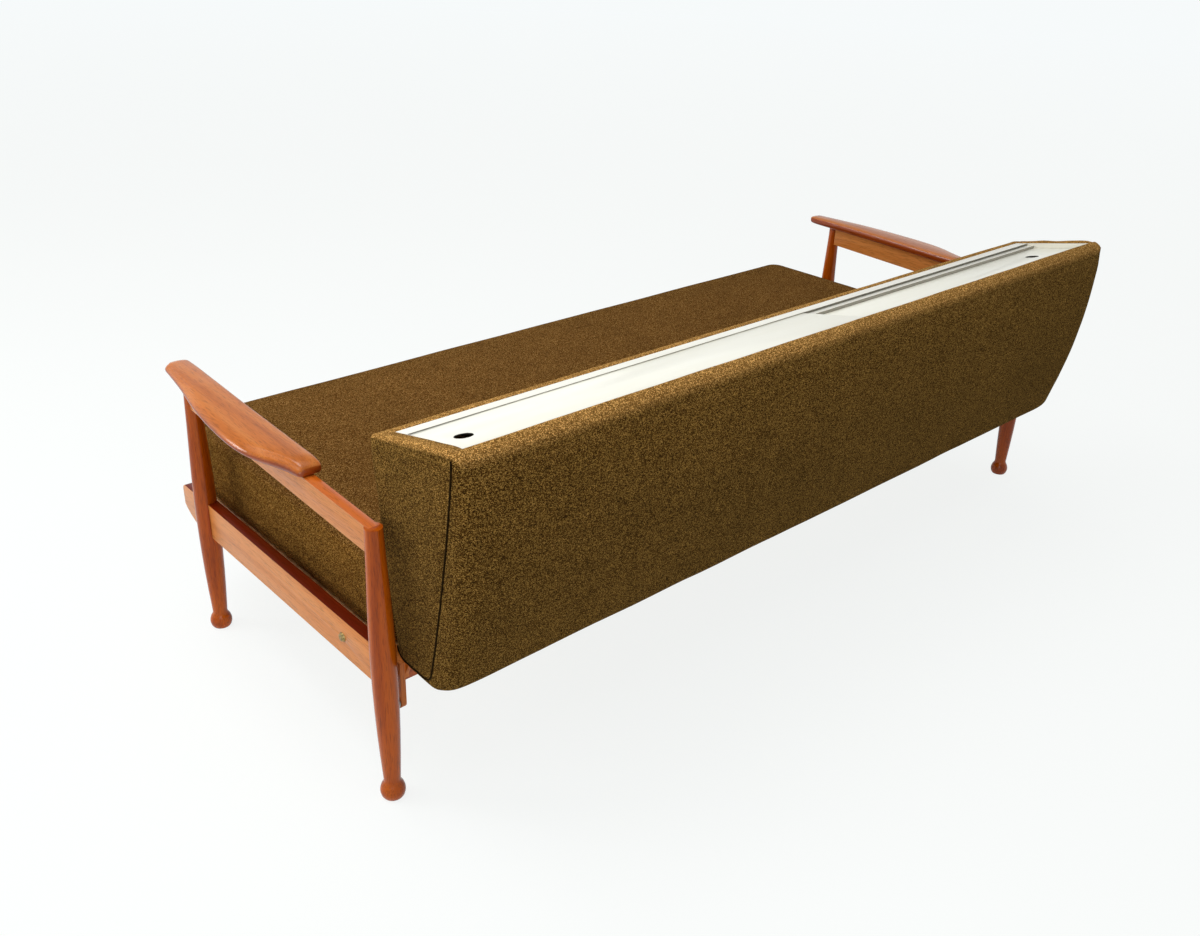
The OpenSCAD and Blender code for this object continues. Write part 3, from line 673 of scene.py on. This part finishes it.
def mattress_plan(d):
    """Outline of the mattress from above, moved in by d, with rounded corners."""
    corner_points, long_points, short_points = 8, 64, 28
    r = max(40 - d, 4)
    hx = MATTRESS_HALF - d
    y0, y1 = MATTRESS_FRONT + d, MATTRESS_REAR - d
    out = []
    corners = ((1, 1, 0), (-1, 1, 90), (-1, -1, 180), (1, -1, 270))
    for k, (sx, sy, a0) in enumerate(corners):
        for i in range(corner_points):
            a = math.radians(a0 + 90 * i / (corner_points - 1))
            out.append((sx * (hx - r) + r * math.cos(a), (y1 - r if sy > 0 else y0 + r) + r * math.sin(a)))
        nx, ny, _ = corners[(k + 1) % 4]
        a = math.radians(a0 + 90)
        p = np.array(out[-1])
        q = np.array([nx * (hx - r) + r * math.cos(a), (y1 - r if ny > 0 else y0 + r) + r * math.sin(a)])
        n = long_points if k % 2 == 0 else short_points
        out += [tuple(p + (q - p) * j / n) for j in range(1, n)]
    return out


def mattress_cushion():
    """Mattress with soft edges, sides a little drawn in, and a crowned, slightly uneven top."""
    high = MATTRESS_TOP - MATTRESS_LOW
    rear_limit = MATTRESS_REAR + 5
    points = []
    for d, share, crown in MATTRESS_RINGS:
        soft = min(d / 60, 1)
        side = math.sin(math.pi * min(share, 1)) if d < 12 else 0
        for x, y in mattress_plan(d):
            z = MATTRESS_LOW + share * high + crown * CROWN
            if share > 0.9:
                # the top lies 3.5 higher at the right end and 2 lower at the left one
                tilt = (3.5 - 5.5 * (x + MATTRESS_HALF) / (2 * MATTRESS_HALF)) * share
                z += tilt + (0.6 + 1.6 * soft) * wave(x, y, 0, 170, 12) + 0.8 * wave(x, y, 0, 60, 13) * soft
            out = side * (1.2 * wave(x, y, z, 120, 14) + 0.4 * wave(x, y, z, 45, 15))
            away = np.array([x / MATTRESS_HALF, (y - MATTRESS_MIDDLE) / MATTRESS_DEEP])
            e = unit(away * 0.4 + 1e-6)
            points.append((x + e[0] * out, min(y + e[1] * out, rear_limit), z))
    m = len(mattress_plan(0))
    obj = build("mattress_cushion", points, loft_faces(m, len(MATTRESS_RINGS)), TICKING)
    dress(obj, "frame", "tweed", "mattress")


# armrests, from the stations of the source: along y from the front leg, the two sides, how far the under
# side is lifted, thickness
STATIONS = np.array([[-73, -22, 11, 5, 12], [-70, -26, 15, 2, 16], [-63, -28, 19, .6, 19],
                     [-47, -28.5, 21, 0, 20.5], [-11, -28, 26, 0, 22], [29, -27, 32, 0, 23],
                     [74, -26, 40, 0, 24], [119, -25.5, 48, 0, 24], [169, -25, 54.5, 0, 24],
                     [219, -24.5, 58.5, 0, 24], [269, -24.5, 60.5, 0, 24], [309, -24.5, 58.5, 0, 24],
                     [334, -24.5, 54, 0, 24], [354, -24.5, 47.5, 0, 24], [374, -24.5, 39.5, 0, 24],
                     [392, -24.5, 32.5, 0, 24], [410, -24.5, 26.5, 0, 24], [422, -24.5, 23.5, 0, 23],
                     [432, -24.5, 21, 0.4, 20.5], [439, -24.5, 18.5, 1.2, 16.5], [442.2, -23, 15, 2.4, 12]])
# cross section: share of the width from its middle, millimetres added to that, share of the thickness
ARM_SECTION = np.array([[-0.30, 0, 0], [0.30, 0, 0], [0.43, 0, 0.07], [0.5, -1.2, 0.24], [0.5, 0, 0.40],
                        [0.5, -1.2, 0.55], [0.5, -4.5, 0.70], [0.5, -10, 0.84], [0.27, 0, 0.955],
                        [0.08, 0, 1.0], [-0.12, 0, 1.01], [-0.30, 0, 0.98], [-0.5, 6, 0.94],
                        [-0.5, 2, 0.88], [-0.5, 0.3, 0.72], [-0.5, 0, 0.45], [-0.5, 3, 0.14]])
# the added millimetres shrink where the armrest is narrower than this
FULL_WIDE = 62


def armrest(side):
    """Paddle armrest with a rolled outer edge and a crisp inner one."""
    per = 3
    rear, last = len(STATIONS) - 5, len(STATIONS) - 1
    # places among the stations, closer together near the rounded ends
    t = np.concatenate([np.linspace(0, 3, 13), np.linspace(3, rear, 53)[1:], np.linspace(rear, last, 17)[1:]])
    slope = ARM_RISE / (REAR_LEG_Y - FRONT_LEG_Y)
    points = []
    for along, inner, outer, lift, thick in smooth_path(STATIONS, t):
        y = FRONT_LEG_Y + along
        mid, wide = (inner + outer) / 2, outer - inner
        base = LEG_TOP + slope * (REAR_LEG_Y - y) + lift
        edge = min(1, wide / FULL_WIDE)
        row = np.array([(mid + a * wide + b * edge, c * thick) for a, b, c in ARM_SECTION])
        points += [(side * (LEG_X + x), y, base + z) for x, z in closed_path(row, per)]
    faces = loft_faces(len(ARM_SECTION) * per, len(t))
    obj = build("armrest_shaped_" + side_name(side), points, faces, TEAK["arm"])
    dress(obj, "frame", "teak", "armrest_" + side_name(side))


# CAD nodes that stay, by the start of their names: material, and width of the arris in millimetres
KEPT = {
    "rear_leg": (TEAK["leg"], 3.0),
    "front_leg": (TEAK["leg"], 3.0),
    "lower_rail": (TEAK["rail"], 2.0),
    "upper_rail": (TEAK["upper"], 2.0),
    "base_front_rail": (TEAK["cross"], 1.5),
    "base_rear_rail": (TEAK["cross"], 1.5),
    "base_end": (TEAK["cross"], 1.5),
    "base_bearer": (TEAK["cross"], 1.0),
    "base_deck": (BOARD["x"], 0.8),
    "side_cleats": (TEAK["cross"], 1.0),
    "pivot_bolts": (BRASS, 0.25),
    "pivot_spacers": (STEEL, 0.2),
    "link": (STEEL, 0.4),
    "hanger_bolts": (STEEL, 0.2),
    "hanger_screws": (STEEL, 0.1),
    "hanger": (TEAK["hanger"], 1.5),
    "box_end": (BOARD["z"], 0.5),
    "box_": (BOARD["x"], 0.5),
    "track_screws": (STEEL, 0),
    "front_track": (TRACK, 0.3),
    "rear_track": (TRACK, 0.3),
    "end_trim": (PAINT, 0.3),
    "lid": (WHITE, 0.4),
}
# metres between corners that are one, degrees that are still flat, degrees that make an arris
ONE_CORNER = 0.00001
FLAT_ANGLE = 0.6
SHARP_ANGLE = 40
SHARP_ON_LEGS = 38


def finish_node(name, obj):
    """Material, smooth flags and soft arrises for a CAD node that stays."""
    key = next((k for k in KEPT if name.startswith(k)), None)
    if key is None:
        return
    mat, arris = KEPT[key]
    obj.data.materials.clear()
    obj.data.materials.append(mat)
    obj.data.polygons.foreach_set("use_smooth", [True] * len(obj.data.polygons))
    weld = obj.modifiers.new("weld", "WELD")
    weld.merge_threshold = ONE_CORNER
    flat = obj.modifiers.new("flat", "DECIMATE")
    flat.decimate_type = "DISSOLVE"
    flat.angle_limit = math.radians(FLAT_ANGLE)
    if arris:
        bevel = obj.modifiers.new("arris", "BEVEL")
        bevel.width = arris * MM
        bevel.segments = 3
        bevel.limit_method = "ANGLE"
        bevel.angle_limit = math.radians(SHARP_ON_LEGS if "_leg" in key else SHARP_ANGLE)
        bevel.harden_normals = True


# camera and light
def add(name, data):
    """Object for a camera or a lamp."""
    obj = bpy.data.objects.new(name, data)
    bpy.context.scene.collection.objects.link(obj)
    return obj


def camera():
    """The camera at the photo's viewing angle, from a fit to measured points."""
    data = bpy.data.cameras.new("camera")
    data.sensor_fit = "HORIZONTAL"
    data.sensor_width = 36.0
    data.lens = 33.7755
    place = (1.7376, 1.6234, 1.3788)
    yaw, pitch, roll = (math.radians(a) for a in (-136.9486, 26.8052, -2.2706))
    ahead = np.array([math.sin(yaw) * math.cos(pitch), math.cos(yaw) * math.cos(pitch), -math.sin(pitch)])
    right = unit(np.cross(ahead, [0, 0, 1]))
    down = np.cross(ahead, right)
    c, s = math.cos(roll), math.sin(roll)
    right, down = c * right + s * down, -s * right + c * down
    obj = add("camera", data)
    turn = Matrix([list(v) for v in np.column_stack([right, -down, -ahead])]).to_4x4()
    obj.matrix_world = Matrix.Translation(place) @ turn
    bpy.context.scene.camera = obj


def lamp(name, kind, place, aim, energy, **props):
    data = bpy.data.lights.new(name, kind)
    data.energy = energy
    for key, value in props.items():
        setattr(data, key, value)
    obj = add(name, data)
    obj.location = place
    obj.rotation_euler = (Vector(aim) - Vector(place)).to_track_quat("-Z", "Y").to_euler()


def sky():
    """Pale surroundings, brighter when seen than as a light, and darker overhead."""
    world = bpy.data.worlds.new("studio")
    bpy.context.scene.world = world
    world.use_nodes = True
    tree = Nodes(world.node_tree)
    level = tree.map_range(tree.seen(), to_min=0.46, to_max=0.96)
    height = tree.node("SeparateXYZ", {"Vector": tree.node("TexCoord").outputs["Generated"]}).outputs["Z"]
    ceiling = tree.map_range(height, from_min=0.28, from_max=0.62, to_min=1.0, to_max=0.42)
    back = world.node_tree.nodes["Background"].inputs
    tree.link(tree.math("MULTIPLY", level, ceiling), back["Strength"])
    back["Color"].default_value = (0.965, 0.995, 1.0, 1.0)


def paper():
    """Plain pale floor with soft shadows; far off it takes the sky's colour."""
    span, drop = 40000.0, 0.2
    floor = Shader("floor_paper", Roughness=0.8, Specular_IOR_Level=0.2)
    tone = floor.noise(floor.coords(), 1.3)
    floor.colour(floor.ramp(tone, [(0.3, (0.87, 0.885, 0.88, 1)), (0.7, (0.885, 0.9, 0.895, 1))]))
    away = floor.node("VectorMath", {0: floor.coords()}, operation="LENGTH").outputs["Value"]
    far = floor.map_range(away, from_min=3.0, from_max=14.0)
    glow = floor.node("Emission", {"Color": floor.mix(far, (1.01, 1.03, 1.02, 1), (0.926, 0.955, 0.96, 1))})
    share = floor.math("MULTIPLY", floor.seen(), floor.map_range(far, to_min=0.82, to_max=1.0))
    both = floor.node("MixShader", {0: share, 1: floor.bsdf.outputs[0], 2: glow.outputs[0]})
    floor.link(both.outputs[0], floor.out.inputs[0])
    corners = [(x * span, y * span, -drop) for x, y in ((-1, -1), (1, -1), (1, 1), (-1, 1))]
    build("floor", corners, [(0, 1, 2, 3)], floor.mat, smooth=False)


def lamps():
    lamp("overhead", "SUN", (0.7, -0.6, 4.0), (0, 0, 0), 0.85, angle=math.radians(70))
    lamp("softbox", "AREA", (1.3, -0.5, 2.9), (0.5, 0, 0.4), 30, shape="RECTANGLE", size=1.6, size_y=1.2)
    lamp("key", "AREA", (3.4, -2.4, 1.7), (0.7, 0, 0.4), 34, shape="RECTANGLE", size=1.2, size_y=0.9)
    lamp("fill", "AREA", (2.6, 2.6, 1.7), (0.5, 0.3, 0.4), 20, shape="RECTANGLE", size=1.8, size_y=1.4)


camera()
sky()
paper()
lamps()
rear_upholstery()
front_upholstery()
mattress_cushion()
for side in (1, -1):
    end_upholstery(side)
    seam(side)
    armrest(side)
for name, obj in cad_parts.items():
    finish_node(name, obj)

bpy.context.scene.view_settings.view_transform = "Standard"
